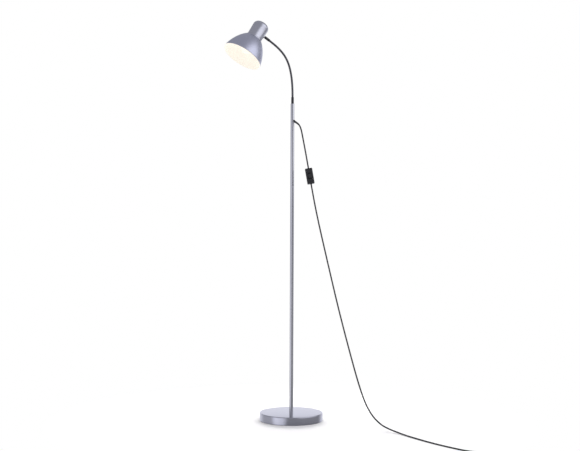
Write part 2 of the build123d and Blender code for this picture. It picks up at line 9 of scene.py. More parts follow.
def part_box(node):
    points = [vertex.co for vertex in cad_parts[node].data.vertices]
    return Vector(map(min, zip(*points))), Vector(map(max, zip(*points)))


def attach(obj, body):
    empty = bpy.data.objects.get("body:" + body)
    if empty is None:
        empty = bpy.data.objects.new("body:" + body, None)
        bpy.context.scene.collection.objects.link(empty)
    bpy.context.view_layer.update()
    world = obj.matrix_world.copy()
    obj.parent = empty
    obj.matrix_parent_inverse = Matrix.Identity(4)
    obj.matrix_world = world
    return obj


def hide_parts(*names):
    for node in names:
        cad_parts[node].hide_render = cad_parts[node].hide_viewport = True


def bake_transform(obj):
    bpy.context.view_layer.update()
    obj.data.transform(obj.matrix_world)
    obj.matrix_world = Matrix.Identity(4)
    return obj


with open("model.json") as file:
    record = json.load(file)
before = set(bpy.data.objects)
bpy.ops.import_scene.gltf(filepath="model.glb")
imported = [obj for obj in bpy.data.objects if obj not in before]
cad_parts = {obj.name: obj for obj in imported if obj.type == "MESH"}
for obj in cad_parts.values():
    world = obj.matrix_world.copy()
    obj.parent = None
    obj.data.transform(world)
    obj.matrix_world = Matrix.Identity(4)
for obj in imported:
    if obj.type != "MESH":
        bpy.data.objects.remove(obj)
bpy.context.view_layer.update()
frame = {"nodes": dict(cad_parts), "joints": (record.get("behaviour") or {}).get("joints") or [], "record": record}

scene = bpy.context.scene
scene.view_settings.view_transform = "Standard"
for unused in [thing for thing in bpy.data.objects if thing.type in ("CAMERA", "LIGHT")]:
    bpy.data.objects.remove(unused)


# ------------------------ the photographer's camera
# A level camera at a seated person's eye height, 3.9 m in front of the lamp. It looks along the line that
# has the arch of the neck leaning towards it, and its horizon is a quarter of a degree off level.
camera_place = Vector((-1.9563, -3.3738, 0.711))
camera_heading = Vector((0.5, 0.866, 0.0)).normalized()
camera_roll = math.radians(0.25)
camera_data = bpy.data.cameras.new("camera")
camera_data.sensor_width = 36.0
camera_data.lens = 66.23
camera = bpy.data.objects.new("camera", camera_data)
scene.collection.objects.link(camera)
camera_turn = camera_heading.to_track_quat("-Z", "Y").to_matrix().to_4x4()
camera.matrix_world = (Matrix.Translation(camera_place) @ camera_turn
                       @ Matrix.Rotation(camera_roll, 4, "Z"))
scene.camera = camera


# ------------------------ studio floor
# A wide sheet of white paper. It keeps the soft shadow beside the base and is plain white from a step away.
# The metal sees most of the dim studio through it, and a little of the paper.
floor_reach, floor_squares = 12.0, 12
floor_white = (0.94, 0.925, 0.895, 1.0)
full_white = (1.0, 1.0, 1.0, 1.0)
lift_start, lift_end = 0.24, 1.6
white_start, white_end = 0.3, 0.9
floor_seen_by_metal = 0.12


def fitted(tree, kind, inputs, out=0, **settings):
    """Adds a node and gives one of its outputs. An input is joined to a socket or set to a plain value."""
    node = tree.nodes.new(kind)
    for name, value in settings.items():
        setattr(node, name, value)
    for name, value in inputs.items():
        if isinstance(value, bpy.types.NodeSocket):
            tree.links.new(value, node.inputs[name])
        else:
            node.inputs[name].default_value = value
    return node.outputs[out]


def reckoned(tree, operation, *values):
    """The result of one sum on sockets and plain numbers."""
    return fitted(tree, "ShaderNodeMath", dict(enumerate(values)), operation=operation)


def ramped(tree, value, start, end, low=0.0, high=1.0):
    """A smooth step from a low to a high level as a value goes from start to end."""
    return fitted(tree, "ShaderNodeMapRange", {
        "Value": value, "From Min": start, "From Max": end, "To Min": low, "To Max": high},
        interpolation_type="SMOOTHSTEP")


def finish_of(name, values):
    """A new material with the shader's own values set, and with it its node tree and its shader."""
    material = bpy.data.materials.new(name)
    material.use_nodes = True
    tree = material.node_tree
    shader = tree.nodes["Principled BSDF"]
    for socket, value in values.items():
        shader.inputs[socket].default_value = value
    return material, tree, shader


bm = bmesh.new()
bmesh.ops.create_grid(bm, x_segments=floor_squares, y_segments=floor_squares, size=floor_reach)
floor_mesh = bpy.data.meshes.new("studio_floor")
bm.to_mesh(floor_mesh)
bm.free()
floor = bpy.data.objects.new("studio_floor", floor_mesh)
scene.collection.objects.link(floor)

paper, tree, shader = finish_of("white_paper", {"Base Color": floor_white, "Roughness": 0.9,
                                                "Specular IOR Level": 0.1, "Emission Color": full_white})
ray = tree.nodes.new("ShaderNodeLightPath").outputs
place = fitted(tree, "ShaderNodeTexCoord", {}, "Object")
from_lamp = fitted(tree, "ShaderNodeVectorMath", {0: place}, "Value", operation="LENGTH")
seen = reckoned(tree, "MAXIMUM", ray["Is Camera Ray"], ray["Is Glossy Ray"])
lift = reckoned(tree, "MULTIPLY", seen, ramped(tree, from_lamp, lift_start, lift_end))
tree.links.new(lift, shader.inputs["Emission Strength"])
whiteness = reckoned(tree, "MULTIPLY", ray["Is Camera Ray"], ramped(tree, from_lamp, white_start, white_end))
plain_white = fitted(tree, "ShaderNodeEmission", {"Color": full_white})
paper_seen = fitted(tree, "ShaderNodeMixShader", {"Fac": whiteness, 1: shader.outputs[0], 2: plain_white})
see_through = reckoned(tree, "MULTIPLY", ray["Is Glossy Ray"], 1.0 - floor_seen_by_metal)
clear = fitted(tree, "ShaderNodeBsdfTransparent", {})
sheet = fitted(tree, "ShaderNodeMixShader", {"Fac": see_through, 1: paper_seen, 2: clear})
tree.links.new(sheet, tree.nodes["Material Output"].inputs["Surface"])
floor_mesh.materials.append(paper)


# ------------------------ studio light
# A dim room with a low white cove behind the lamp, a pale wall on the left, a bright panel at the front left
# and a glow high on the right. The soft box on the right shows in the metal, and three soft fills don't.
room_low, room_high = 0.29, 0.53
room_low_edge, room_high_edge = -0.2, 0.9
cove_bright, wall_bright, panel_bright, glow_bright = 1.0, 0.30, 0.90, 0.68
room_tint = (0.95, 0.96, 1.06, 1.0)
upward = Vector((0.0, 0.0, 1.0))
camera_right = Vector((camera_heading.y, -camera_heading.x, 0.0))


def towards(azimuth, elevation):
    """A direction from the lamp: its bearing is counted from the photographer, to the right."""
    bearing, height = math.radians(azimuth), math.radians(elevation)
    level_part = camera_right * math.sin(bearing) - camera_heading * math.cos(bearing)
    return level_part * math.cos(height) + upward * math.sin(height)


world = bpy.data.worlds.new("studio")
scene.world = world
world.use_nodes = True
tree = world.node_tree
tree.nodes.clear()
direction = fitted(tree, "ShaderNodeTexCoord", {}, "Generated")


def part_of_room(along, start, end, low, high):
    """A smooth step from one level to another as the view turns towards a direction."""
    facing = fitted(tree, "ShaderNodeVectorMath", {0: direction, 1: along}, "Value", operation="DOT_PRODUCT")
    return ramped(tree, facing, start, end, low, high)


# Each lit part has a direction, the turn over which it fades in, its brightness, the heights over which it
# fades out or in, and its share below and above them.
cove = (camera_heading, (0.42, 0.85), cove_bright - room_low, (0.24, 0.42), (1.0, 0.0))
left_wall = (-camera_right, (0.55, 0.95), wall_bright, (0.05, 0.30), (1.0, 0.0))
left_panel = (towards(-45.0, 0.0), (0.82, 0.985), panel_bright, (0.10, 0.36), (1.0, 0.0))
right_glow = (towards(68.0, 15.0), (0.643, 0.927), glow_bright, (-0.12, 0.12), (0.0, 1.0))
level = part_of_room(upward, room_low_edge, room_high_edge, room_low, room_high)
for along, fade, bright, edge, shares in (cove, left_wall, left_panel, right_glow):
    lit = part_of_room(along, *fade, 0.0, bright)
    level = reckoned(tree, "ADD", level,
                     reckoned(tree, "MULTIPLY", lit, part_of_room(upward, *edge, *shares)))
room = fitted(tree, "ShaderNodeBackground", {"Color": room_tint, "Strength": level})
white = fitted(tree, "ShaderNodeBackground", {"Color": full_white})
seen = fitted(tree, "ShaderNodeLightPath", {}, "Is Camera Ray")
surroundings = fitted(tree, "ShaderNodeMixShader", {"Fac": seen, 1: room, 2: white})
tree.links.new(surroundings, tree.nodes.new("ShaderNodeOutputWorld").inputs["Surface"])


def soft_box(name, azimuth, distance, height, target, width, tall, brightness, in_metal=False):
    """A soft box turned to a height on the lamp, placed by its bearing, distance and height."""
    place = towards(azimuth, 0.0) * distance
    place.z = height
    data = bpy.data.lights.new(name, "AREA")
    data.shape = "RECTANGLE"
    data.size, data.size_y = width, tall
    data.energy = brightness * math.pi * width * tall
    box = bpy.data.objects.new(name, data)
    scene.collection.objects.link(box)
    facing = (upward * target - place).to_track_quat("-Z", "Y").to_matrix().to_4x4()
    box.matrix_world = Matrix.Translation(place) @ facing
    box.visible_glossy = in_metal


soft_box("soft_box_right", azimuth=65.0, distance=2.0, height=2.1, target=1.7, width=2.9, tall=2.2,
         brightness=0.55, in_metal=True)
soft_box("soft_fill_above", azimuth=0.0, distance=0.01, height=3.2, target=0.0, width=2.4, tall=2.4,
         brightness=0.6)
soft_box("soft_fill_behind", azimuth=180.0, distance=2.6, height=1.2, target=0.0, width=2.6, tall=1.2,
         brightness=11.0)
soft_box("soft_fill_front", azimuth=-15.0, distance=3.4, height=1.4, target=0.7, width=1.6, tall=1.6,
         brightness=0.8)


# ------------------------ the two lengths of mains cord
# Round black PVC mains cord, 5.4 mm across. The upper length hangs from the pole to the inline switch and
# the lower one falls on to the floor, runs out to the side and ends in the plug.
cord_diameter = 0.0054
cord_heading = math.radians(-60.6)
gland_exit = (0.01393, 1.0880)
upper_points = ((0.0243, 1.0820), (0.0322, 1.0723), (0.0379, 1.0574), (0.0442, 1.0301), (0.0541, 0.9852))
switch_middle = (0.0738, 0.8897)
switch_tilt = math.radians(11.5)
switch_half = 0.0295
switch_lead_in, switch_lead_out = 0.028, 0.060
lower_points = (
    (0.1099, 0.7260), (0.1298, 0.6505), (0.1501, 0.5750), (0.1704, 0.5000), (0.1911, 0.4250),
    (0.2128, 0.3510), (0.2352, 0.2780), (0.2568, 0.2090), (0.2766, 0.1500), (0.2947, 0.1040),
    (0.3123, 0.0700))
landing_points = ((0.1630, -0.2893, 0.0440), (0.1710, -0.3080, 0.0280), (0.1780, -0.3280, 0.0165),
                  (0.1850, -0.3520, 0.0100), (0.1910, -0.3890, 0.0047))
floor_points = ((0.1900, -0.4410), (0.1880, -0.5030), (0.1880, -0.5660), (0.1920, -0.6280),
                (0.2000, -0.6900), (0.2110, -0.7480))
floor_height = 0.0028
plug_approach, cord_end = (0.2270, -0.8020), (0.2425, -0.8400)
plug_height = 0.00685


def hang(distance, height):
    """A point in the upright plane that the cord hangs in."""
    return Vector((distance * math.cos(cord_heading), distance * math.sin(cord_heading), height))


def along_switch(offset):
    """A point on the switch's long axis, counted downwards from its middle."""
    return hang(switch_middle[0] + offset * math.sin(switch_tilt),
                switch_middle[1] - offset * math.cos(switch_tilt))


def cord_line(name, points, finish, radius=cord_diameter / 2):
    """A smooth round cord that has the route's points as its control points."""
    curve = bpy.data.curves.new(name, "CURVE")
    curve.dimensions = "3D"
    curve.bevel_depth = radius
    curve.bevel_resolution = 6
    curve.resolution_u = 8
    curve.use_fill_caps = True
    curve.materials.append(finish)
    spline = curve.splines.new("NURBS")
    spline.points.add(len(points) - 1)
    for target, place in zip(spline.points, points):
        target.co = (*place, 1.0)
    spline.order_u = 3
    spline.use_endpoint_u = True
    line = bpy.data.objects.new(name, curve)
    scene.collection.objects.link(line)
    return line


def patterned(tree, shader, pattern, tones, bumps, gloss=None, band=(0.0, 1.0)):
    """Runs a pattern through two tones, bumps of a strength and a height, and a range of roughness."""
    colour = fitted(tree, "ShaderNodeValToRGB", {"Fac": pattern})
    for element, tone, position in zip(colour.node.color_ramp.elements, tones, band):
        element.color, element.position = (*tone, 1.0), position
    relief = fitted(tree, "ShaderNodeBump", {"Height": pattern, "Strength": bumps[0], "Distance": bumps[1]})
    tree.links.new(colour, shader.inputs["Base Color"])
    tree.links.new(relief, shader.inputs["Normal"])
    if gloss:
        roughness = fitted(tree, "ShaderNodeMapRange", {
            "Value": pattern, "To Min": gloss[0], "To Max": gloss[1]})
        tree.links.new(roughness, shader.inputs["Roughness"])


def mottled(name, tones, scale, bumps, values, detail=2.0, texture="ShaderNodeTexNoise", **pattern):
    """A finish mottled between two tones, with small bumps and with the shader's own values."""
    material, tree, shader = finish_of(name, values)
    place = fitted(tree, "ShaderNodeTexCoord", {}, "Object")
    mottle = fitted(tree, texture, {"Vector": place, "Scale": scale, "Detail": detail})
    patterned(tree, shader, mottle, tones, bumps, **pattern)
    return material


cord_black = mottled("cord_black", ((0.012, 0.012, 0.013), (0.03, 0.03, 0.032)), scale=260.0,
                     bumps=(0.12, 0.0002), values={"Roughness": 0.42}, detail=4.0)

gland_tip = hang(*gland_exit)
upper_route = [gland_tip, *[hang(*pair) for pair in upper_points]]
upper_route += [along_switch(-switch_half - switch_lead_in), along_switch(-switch_half)]
upper_cord = cord_line("upper_mains_cord", upper_route, cord_black)
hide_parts("cord_upper")
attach(upper_cord, "stand")

lower_exit = along_switch(switch_half)
lower_route = [lower_exit, along_switch(switch_half + switch_lead_out)]
lower_route += [hang(*pair) for pair in lower_points]
lower_route += [Vector(place) for place in landing_points]
lower_route += [Vector((*place, floor_height)) for place in floor_points]
lower_route += [Vector((*place, plug_height)) for place in (plug_approach, cord_end)]
lower_cord = cord_line("lower_mains_cord", lower_route, cord_black)
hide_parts("cord_lower")
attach(lower_cord, "stand")


# ------------------------ round base
# A spun steel dish with a satin nickel finish and a rounded edge, pressed over its ballast. The lathe
# leaves fine rings on its top.
base_low, base_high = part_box("base_cover")
base_radius = (base_high.x - base_low.x) / 2
base_sheet = 0.0012
base_edge, cut_edge = 0.003, 0.0004
pole_low, pole_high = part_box("pole_lower")
pole_radius = (pole_high.x - pole_low.x) / 2
dish_hole = pole_radius - 0.001
corner_steps = 8
crease = math.radians(35.0)
merge_distance = 1e-7
grain_tones, grain_height = (0.93, 1.05), 0.0001
gloss_below, gloss_above = 0.04, 0.06


def rounded(outline):
    """An outline's points, with an arc at each corner that has a third value, the arc's radius."""
    points = []
    for index, corner in enumerate(outline):
        here = Vector(corner[:2])
        if len(corner) < 3:
            points.append(here)
            continue
        before = (Vector(outline[index - 1][:2]) - here).normalized()
        after = (Vector(outline[(index + 1) % len(outline)][:2]) - here).normalized()
        half_angle = before.angle(after) / 2
        reach = corner[2] / math.tan(half_angle)
        centre = here + (before + after).normalized() * (corner[2] / math.sin(half_angle))
        first = (here + before * reach - centre).normalized()
        last = (here + after * reach - centre).normalized()
        points += [centre + first.slerp(last, step / corner_steps) * corner[2]
                   for step in range(corner_steps + 1)]
    return points


def finished(name, bm, finish=None):
    """An object made from a bmesh, smooth except over its sharp edges."""
    mesh = bpy.data.meshes.new(name)
    bm.to_mesh(mesh)
    bm.free()
    mesh.shade_smooth()
    mesh.set_sharp_from_angle(angle=crease)
    if finish:
        mesh.materials.append(finish)
    piece = bpy.data.objects.new(name, mesh)
    scene.collection.objects.link(piece)
    return piece


def closed(name, bm, place, finish):
    """An object made from a closed bmesh: its doubles are merged, it is turned outwards and then placed."""
    bmesh.ops.remove_doubles(bm, verts=bm.verts, dist=merge_distance)
    bmesh.ops.recalc_face_normals(bm, faces=bm.faces)
    bm.transform(place)
    return finished(name, bm, finish)


def turned(name, outline, finish=None, place=Matrix.Identity(4), steps=128):
    """A turned piece: its closed outline of (radius, height) points is spun about the place's Z axis."""
    bm = bmesh.new()
    rings = []
    for step in range(steps):
        turn = math.tau * step / steps
        rings.append([bm.verts.new((point[0] * math.cos(turn), point[0] * math.sin(turn), point[1]))
                      for point in outline])
    for here, there in zip(rings, rings[1:] + rings[:1]):
        for index in range(len(outline)):
            if max(outline[index - 1][0], outline[index][0]) > merge_distance:
                bm.faces.new((here[index - 1], there[index - 1], there[index], here[index]))
    return closed(name, bm, place, finish)


def satin_metal(name, colour, roughness, grain_scale, grain_depth, lathe=None):
    """Brushed metal: fine lines along the piece, or rings about a placement's Z axis if a lathe made them."""
    material, tree, shader = finish_of(name, {"Metallic": 1.0})
    place = fitted(tree, "ShaderNodeTexCoord", {}, "Object")
    if lathe is None:
        stretched = fitted(tree, "ShaderNodeMapping", {"Vector": place, "Scale": grain_scale})
        grain = fitted(tree, "ShaderNodeTexNoise", {"Vector": stretched, "Scale": 1.0, "Detail": 5.0})
    else:
        centred = fitted(tree, "ShaderNodeMapping",
                         {"Vector": place, "Location": lathe.to_translation(), "Rotation": lathe.to_euler()},
                         vector_type="TEXTURE")
        height = fitted(tree, "ShaderNodeSeparateXYZ", {0: centred}, "Z")
        flat = fitted(tree, "ShaderNodeVectorMath", {0: centred, 1: (1.0, 1.0, 0.0)}, operation="MULTIPLY")
        radius = fitted(tree, "ShaderNodeVectorMath", {0: flat}, "Value", operation="LENGTH")
        rings = fitted(tree, "ShaderNodeCombineXYZ", {"X": radius, "Y": height})
        grain = fitted(tree, "ShaderNodeTexNoise", {"Vector": rings, "Scale": grain_scale, "Detail": 5.0},
                       noise_dimensions="2D")
    tones = [[min(1.0, share * value) for value in colour] for share in grain_tones]
    patterned(tree, shader, grain, tones, (grain_depth, grain_height),
              gloss=(roughness - gloss_below, roughness + gloss_above))
    return material


nickel = (0.46, 0.464, 0.515)
spun_nickel = satin_metal("spun_nickel", nickel, roughness=0.16,
                          grain_scale=2600.0, grain_depth=0.10, lathe=Matrix.Identity(4))
base_outline = rounded([
    (dish_hole, base_high.z), (base_radius, base_high.z, base_edge), (base_radius, base_low.z, cut_edge),
    (base_radius - base_sheet, base_low.z, cut_edge),
    (base_radius - base_sheet, base_high.z - base_sheet, base_edge - base_sheet),
    (dish_hole, base_high.z - base_sheet)])
base_dish = turned("base_dish", base_outline, spun_nickel, steps=256)
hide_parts("base_cover")
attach(base_dish, "stand")


# ------------------------ rubber foot pad
# A flat disc of black rubber glued under the ballast. It stands a millimetre below the dish, so the dish
# casts a thin line of shadow round it.
pad_rubber = mottled("pad_rubber", ((0.016, 0.016, 0.017), (0.04, 0.04, 0.041)), scale=700.0,
                     bumps=(0.5, 0.0003), values={"Roughness": 0.85}, detail=0.0,
                     texture="ShaderNodeTexVoronoi")
frame["nodes"]["base_pad"].data.materials.clear()
frame["nodes"]["base_pad"].data.materials.append(pad_rubber)


# ------------------------ pole
# Three lengths of 14 mm steel tube, pushed together over inner sleeves so closely that only a hairline
# shows at each joint. Satin nickel, with the brushing running along the tube.
pole_wall = 0.001
joint_groove = 0.00025
tube_edge, bore_edge = 0.0004, 0.0003
pole_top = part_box("pole_upper")[1].z
section_joints = [pole_high.z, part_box("pole_middle")[1].z]


def grooved(radius, heights, reach, depth):
    """The points of a row of small V grooves in a turned wall."""
    return [point for height in heights
            for point in ((radius, height - reach), (radius - depth, height), (radius, height + reach))]


pole_outline = [(pole_radius, pole_low.z), *grooved(pole_radius, section_joints, joint_groove, joint_groove)]
pole_outline += rounded([(pole_radius, pole_top, tube_edge), (pole_radius - pole_wall, pole_top, bore_edge),
                         (pole_radius - pole_wall, pole_low.z)])
brushed_nickel = satin_metal("brushed_nickel", (0.462, 0.463, 0.49), roughness=0.13,
                             grain_scale=(1500.0, 1500.0, 9.0), grain_depth=0.05)
pole_tube = turned("pole_tube", pole_outline, brushed_nickel)
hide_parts("pole_lower", "pole_middle", "pole_upper")
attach(pole_tube, "stand")


# ------------------------ gooseneck
# A steel wire wound into a tube 8 mm across, blackened and polished, that stays as it is bent. It is
# cut here half way between the hinges, and each length bends over the hinge in its middle.
neck_joints = [joint for joint in frame["joints"] if joint["name"].startswith("neck")]
hinges = [Vector(joint["pos_m"]) for joint in neck_joints]
neck_radius = 0.004
wire_pitch = 0.0021
wire_relief = 0.00055
line_steps, wall_sides, points_per_turn = 64, 32, 8.0
neck_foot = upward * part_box("neck_stub_lower")[0].z
end_low, end_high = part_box("neck_stub_upper")
neck_top = (end_low + end_high) - hinges[-1]
neck_out = (neck_top - hinges[-1]).normalized()
cuts = [neck_foot] + [(here + there) / 2 for here, there in zip(hinges, hinges[1:])] + [neck_top]
spans = list(zip(neck_joints, hinges, cuts, cuts[1:]))


def opened_tree(name, inputs):
    """A new Geometry Nodes tree and its inputs, which are given by their kind and their names."""
    tree = bpy.data.node_groups.new(name, "GeometryNodeTree")
    for kind, labels in inputs.items():
        for label in labels:
            tree.interface.new_socket(label, in_out="INPUT", socket_type="NodeSocket" + kind)
    tree.interface.new_socket("Geometry", in_out="OUTPUT", socket_type="NodeSocketGeometry")
    return tree, tree.nodes.new("NodeGroupInput").outputs


def close_tree(tree, mesh, material):
    """Ends a tree with real geometry in the given material."""
    real = fitted(tree, "GeometryNodeRealizeInstances", {"Geometry": mesh})
    finish = fitted(tree, "GeometryNodeSetMaterial", {"Geometry": real, "Material": material})
    tree.links.new(finish, tree.nodes.new("NodeGroupOutput").inputs["Geometry"])


def kept(tree, curve, *fields):
    """Keeps fields on a curve, each given by its kind, name and socket, and gives the outputs with them."""
    node = tree.nodes.new("GeometryNodeCaptureAttribute")
    for kind, name, field in fields:
        node.capture_items.new(kind, name)
    tree.links.new(curve, node.inputs["Geometry"])
    for kind, name, field in fields:
        tree.links.new(field, node.inputs[name])
    return node.outputs


def pushed(tree, mesh, spoke, depth):
    """Moves every point of a mesh along its spoke by a depth."""
    outward = fitted(tree, "ShaderNodeVectorMath", {0: spoke}, operation="NORMALIZE")
    move = fitted(tree, "ShaderNodeVectorMath", {0: outward, "Scale": depth}, operation="SCALE")
    return fitted(tree, "GeometryNodeSetPosition", {"Geometry": mesh, "Offset": move})


def wound_tree():
    """Winds a wire round a bent line: a tapered tube whose wall rises and falls along a helix or in rings."""
    tree, given = opened_tree("wound_neck", {
        "Vector": ("Start", "Bend", "End"), "Float": ("Radius", "Taper", "Relief", "Helix"),
        "Int": ("Turns",), "Material": ("Material",)})
    line = fitted(tree, "GeometryNodeCurveQuadraticBezier", {
        "Resolution": line_steps, "Start": given["Start"], "Middle": given["Bend"], "End": given["End"]})
    count = reckoned(tree, "MULTIPLY_ADD", given["Turns"], points_per_turn, 1.0)
    even = fitted(tree, "GeometryNodeResampleCurve", {"Curve": line, "Count": count})
    upright = fitted(tree, "GeometryNodeSetCurveNormal", {
        "Curve": even, "Normal": (0.0, 1.0, 0.0)}, mode="FREE")
    spine = kept(tree, upright, ("FLOAT", "Along", fitted(tree, "GeometryNodeSplineParameter", {}, "Factor")),
                 ("VECTOR", "Centre", fitted(tree, "GeometryNodeInputPosition", {})))
    rim = fitted(tree, "GeometryNodeCurvePrimitiveCircle", {
        "Resolution": wall_sides, "Radius": given["Radius"]})
    profile = kept(tree, rim, ("FLOAT", "Around", fitted(tree, "GeometryNodeSplineParameter", {}, "Factor")))
    wall = fitted(tree, "GeometryNodeCurveToMesh", {
        "Curve": spine["Geometry"], "Profile Curve": profile["Geometry"], "Fill Caps": True})

    helix = reckoned(tree, "MULTIPLY", profile["Around"], given["Helix"])
    phase = reckoned(tree, "MULTIPLY_ADD", spine["Along"], given["Turns"], helix)
    wave = reckoned(tree, "SINE", reckoned(tree, "MULTIPLY", phase, math.pi))
    sink = reckoned(tree, "SUBTRACT", reckoned(tree, "ABSOLUTE", wave), 1.0)
    narrowing = reckoned(tree, "MULTIPLY", spine["Along"], given["Taper"])
    depth = reckoned(tree, "SUBTRACT", reckoned(tree, "MULTIPLY", sink, given["Relief"]), narrowing)
    place = fitted(tree, "GeometryNodeInputPosition", {})
    spoke = fitted(tree, "ShaderNodeVectorMath", {0: place, 1: spine["Centre"]}, operation="SUBTRACT")
    smooth = fitted(tree, "GeometryNodeSetShadeSmooth", {"Geometry": pushed(tree, wall, spoke, depth)})
    close_tree(tree, smooth, given["Material"])
    return tree


def grown(name, tree, values):
    """Runs a Geometry Nodes tree with the given inputs and keeps the result as a plain mesh."""
    carrier = bpy.data.objects.new(name, bpy.data.meshes.new(name))
    scene.collection.objects.link(carrier)
    modifier = carrier.modifiers.new("grow", "NODES")
    modifier.node_group = tree
    for item in tree.interface.items_tree:
        if item.in_out == "INPUT" and item.name in values:
            modifier[item.identifier] = values[item.name]
    bpy.context.view_layer.update()
    evaluated = carrier.evaluated_get(bpy.context.evaluated_depsgraph_get())
    mesh = bpy.data.meshes.new_from_object(evaluated)
    mesh.name = name
    carrier.modifiers.remove(modifier)
    carrier.data = mesh
    return carrier


def neck_length(name, span, values):
    """A length of the neck, or of what runs through it, over one hinge and blended across it."""
    joint, hinge, start, end = span
    length = grown(name, wound_neck, {"Start": start, "Bend": hinge, "End": end, "Taper": 0.0, **values})
    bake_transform(length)
    return length


neck_steel = satin_metal("neck_steel", (0.115, 0.115, 0.125), roughness=0.18,
                         grain_scale=(500.0, 500.0, 500.0), grain_depth=0.05)
wound_neck = wound_tree()
for index, (joint, hinge, start, end) in enumerate(spans, 1):
    turns = round(((hinge - start).length + (end - hinge).length) / wire_pitch)
    length = neck_length(f"gooseneck_{index}", (joint, hinge, start, end), {
        "Radius": neck_radius, "Relief": wire_relief, "Turns": turns, "Helix": 1.0, "Material": neck_steel})
    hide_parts(*frame["record"]["behaviour"]["bodies"][joint["child"]][:1])
    if index == 1:
        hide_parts("neck_stub_lower")


# ------------------------ neck ferrules
# Blackened steel sleeves, crimped on to both ends of the gooseneck with two shallow rings. Their threads
# screw into the pole's top plug and through the head's cover.
ferrule_radius, ferrule_length, ferrule_edge = 0.0049, 0.024, 0.0006
ferrule_bore = neck_radius - wire_relief
crimp_heights = (0.0165, 0.0205)
crimp_depth, crimp_width = 0.0002, 0.0009
face_beyond_neck = 0.008
upper_face = neck_top + neck_out * face_beyond_neck
neck_side = Vector((0.0, 1.0, 0.0))


def standing(place, up, side):
    """The placement of a piece made about Z, stood at a point with its Z along one direction."""
    across = side.cross(up).normalized()
    turn = Matrix((across, up.cross(across), up)).transposed()
    return Matrix.Translation(place) @ turn.to_4x4()


ferrule_outline = [(ferrule_radius, 0.0), *grooved(ferrule_radius, crimp_heights, crimp_width, crimp_depth)]
ferrule_outline += rounded([(ferrule_radius, ferrule_length, ferrule_edge), (ferrule_bore, ferrule_length),
                            (ferrule_bore, 0.0)])
lower_seat = Matrix.Translation((0.0, 0.0, pole_top))
upper_seat = standing(upper_face, -neck_out, neck_side)
for name, node, seat, body in (("ferrule_lower", "neck_ferrule_lower", lower_seat, "stand"),
                               ("ferrule_upper", "neck_ferrule_upper", upper_seat, "head")):
    black_steel = satin_metal("black_steel_" + name, (0.055, 0.055, 0.06), roughness=0.30,
                              grain_scale=900.0, grain_depth=0.10, lathe=seat)
    sleeve = turned(name, ferrule_outline, black_steel, seat, steps=64)
    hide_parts(node)
    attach(sleeve, body)


# ------------------------ bright ring on the head
# A turned, nickel-plated ring between the upper ferrule and the head's cover. It is polished brighter than
# the rest and its edges are eased.
ring_radius, ring_height = 0.0062, 0.0034
ring_edge, ring_bore_edge = 0.0007, 0.0002
ring_seat = standing(upper_face, neck_out, neck_side)
ring_outline = rounded([(ring_radius, 0.0, ring_edge), (ring_radius, ring_height),
                        (neck_radius, ring_height), (neck_radius, 0.0, ring_bore_edge)])
bright_plate = satin_metal("bright_plate", (0.86, 0.86, 0.88), roughness=0.12,
                           grain_scale=1500.0, grain_depth=0.04, lathe=ring_seat)
bright_ring = turned("bright_ring", ring_outline, bright_plate, ring_seat, steps=64)
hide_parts("neck_ring")
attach(bright_ring, "head")


# ------------------------ head cover
# A spun steel cup over the lampholder, satin nickel, with a gently domed crown. A bead is rolled round its
# foot and the neck enters through its side.
nipple_height = 0.0218
cover_foot, cover_shoulder, cover_crown = -0.028, 0.018, 0.035
cover_foot_radius, cover_shoulder_radius, crown_flat_radius = 0.0278, 0.0294, 0.013
crown_bulge, crown_steps = 0.0052, 24
cover_sheet = 0.001
cover_hole = 0.0043
cover_bead = 0.0009
bead_start, bead_sweep, bead_steps = 40.0, -260.0, 10


def middle_of(node):
    """The middle of a CAD node's box."""
    low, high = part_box(node)
    return (low + high) / 2


def swept(middle, radius, start, sweep, steps):
    """Points round a circle, from an angle on through a sweep, both in degrees."""
    return [middle + Vector((math.cos(angle), math.sin(angle))) * radius
            for angle in [math.radians(start + sweep * step / steps) for step in range(steps + 1)]]


def arched(start, end, bulge, steps):
    """Points along an arc from start to end that bulges to the left of the line between them."""
    start, end = Vector(start), Vector(end)
    chord = end - start
    radius = (chord.length ** 2 / 4 + bulge ** 2) / (2 * bulge)
    outward = Vector((-chord.y, chord.x)).normalized()
    centre = (start + end) / 2 + outward * (bulge - radius)
    spread = math.asin(chord.length / 2 / radius)
    angles = [spread * (2 * step / steps - 1) for step in range(steps + 1)]
    return [centre + outward * (radius * math.cos(angle)) + chord.normalized() * (radius * math.sin(angle))
            for angle in angles]


def crown_wall(inset):
    """The cover's outline from the flat of the crown out to the shoulder, inset for the inside."""
    return arched((crown_flat_radius, cover_crown - inset), (cover_shoulder_radius - inset, cover_shoulder),
                  crown_bulge, crown_steps)


nipple_middle = middle_of("holder_nipple")
head_up = (nipple_middle - middle_of("bulb_cap")).normalized()
head_place = standing(nipple_middle - head_up * nipple_height, head_up, -neck_side)
bead_middle = Vector((cover_foot_radius - cover_sheet / 2, cover_foot + cover_bead))
cover_outline = [Vector((cover_hole, cover_crown)), *crown_wall(0.0),
                 *swept(bead_middle, cover_bead, bead_start, bead_sweep, bead_steps),
                 *reversed(crown_wall(cover_sheet)), Vector((cover_hole, cover_crown - cover_sheet))]
head_nickel = satin_metal("head_nickel", nickel, roughness=0.31,
                          grain_scale=1800.0, grain_depth=0.10, lathe=head_place)
head_cover = turned("head_cover", cover_outline, head_nickel, head_place, steps=192)
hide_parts("head_cap")
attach(head_cover, "head")


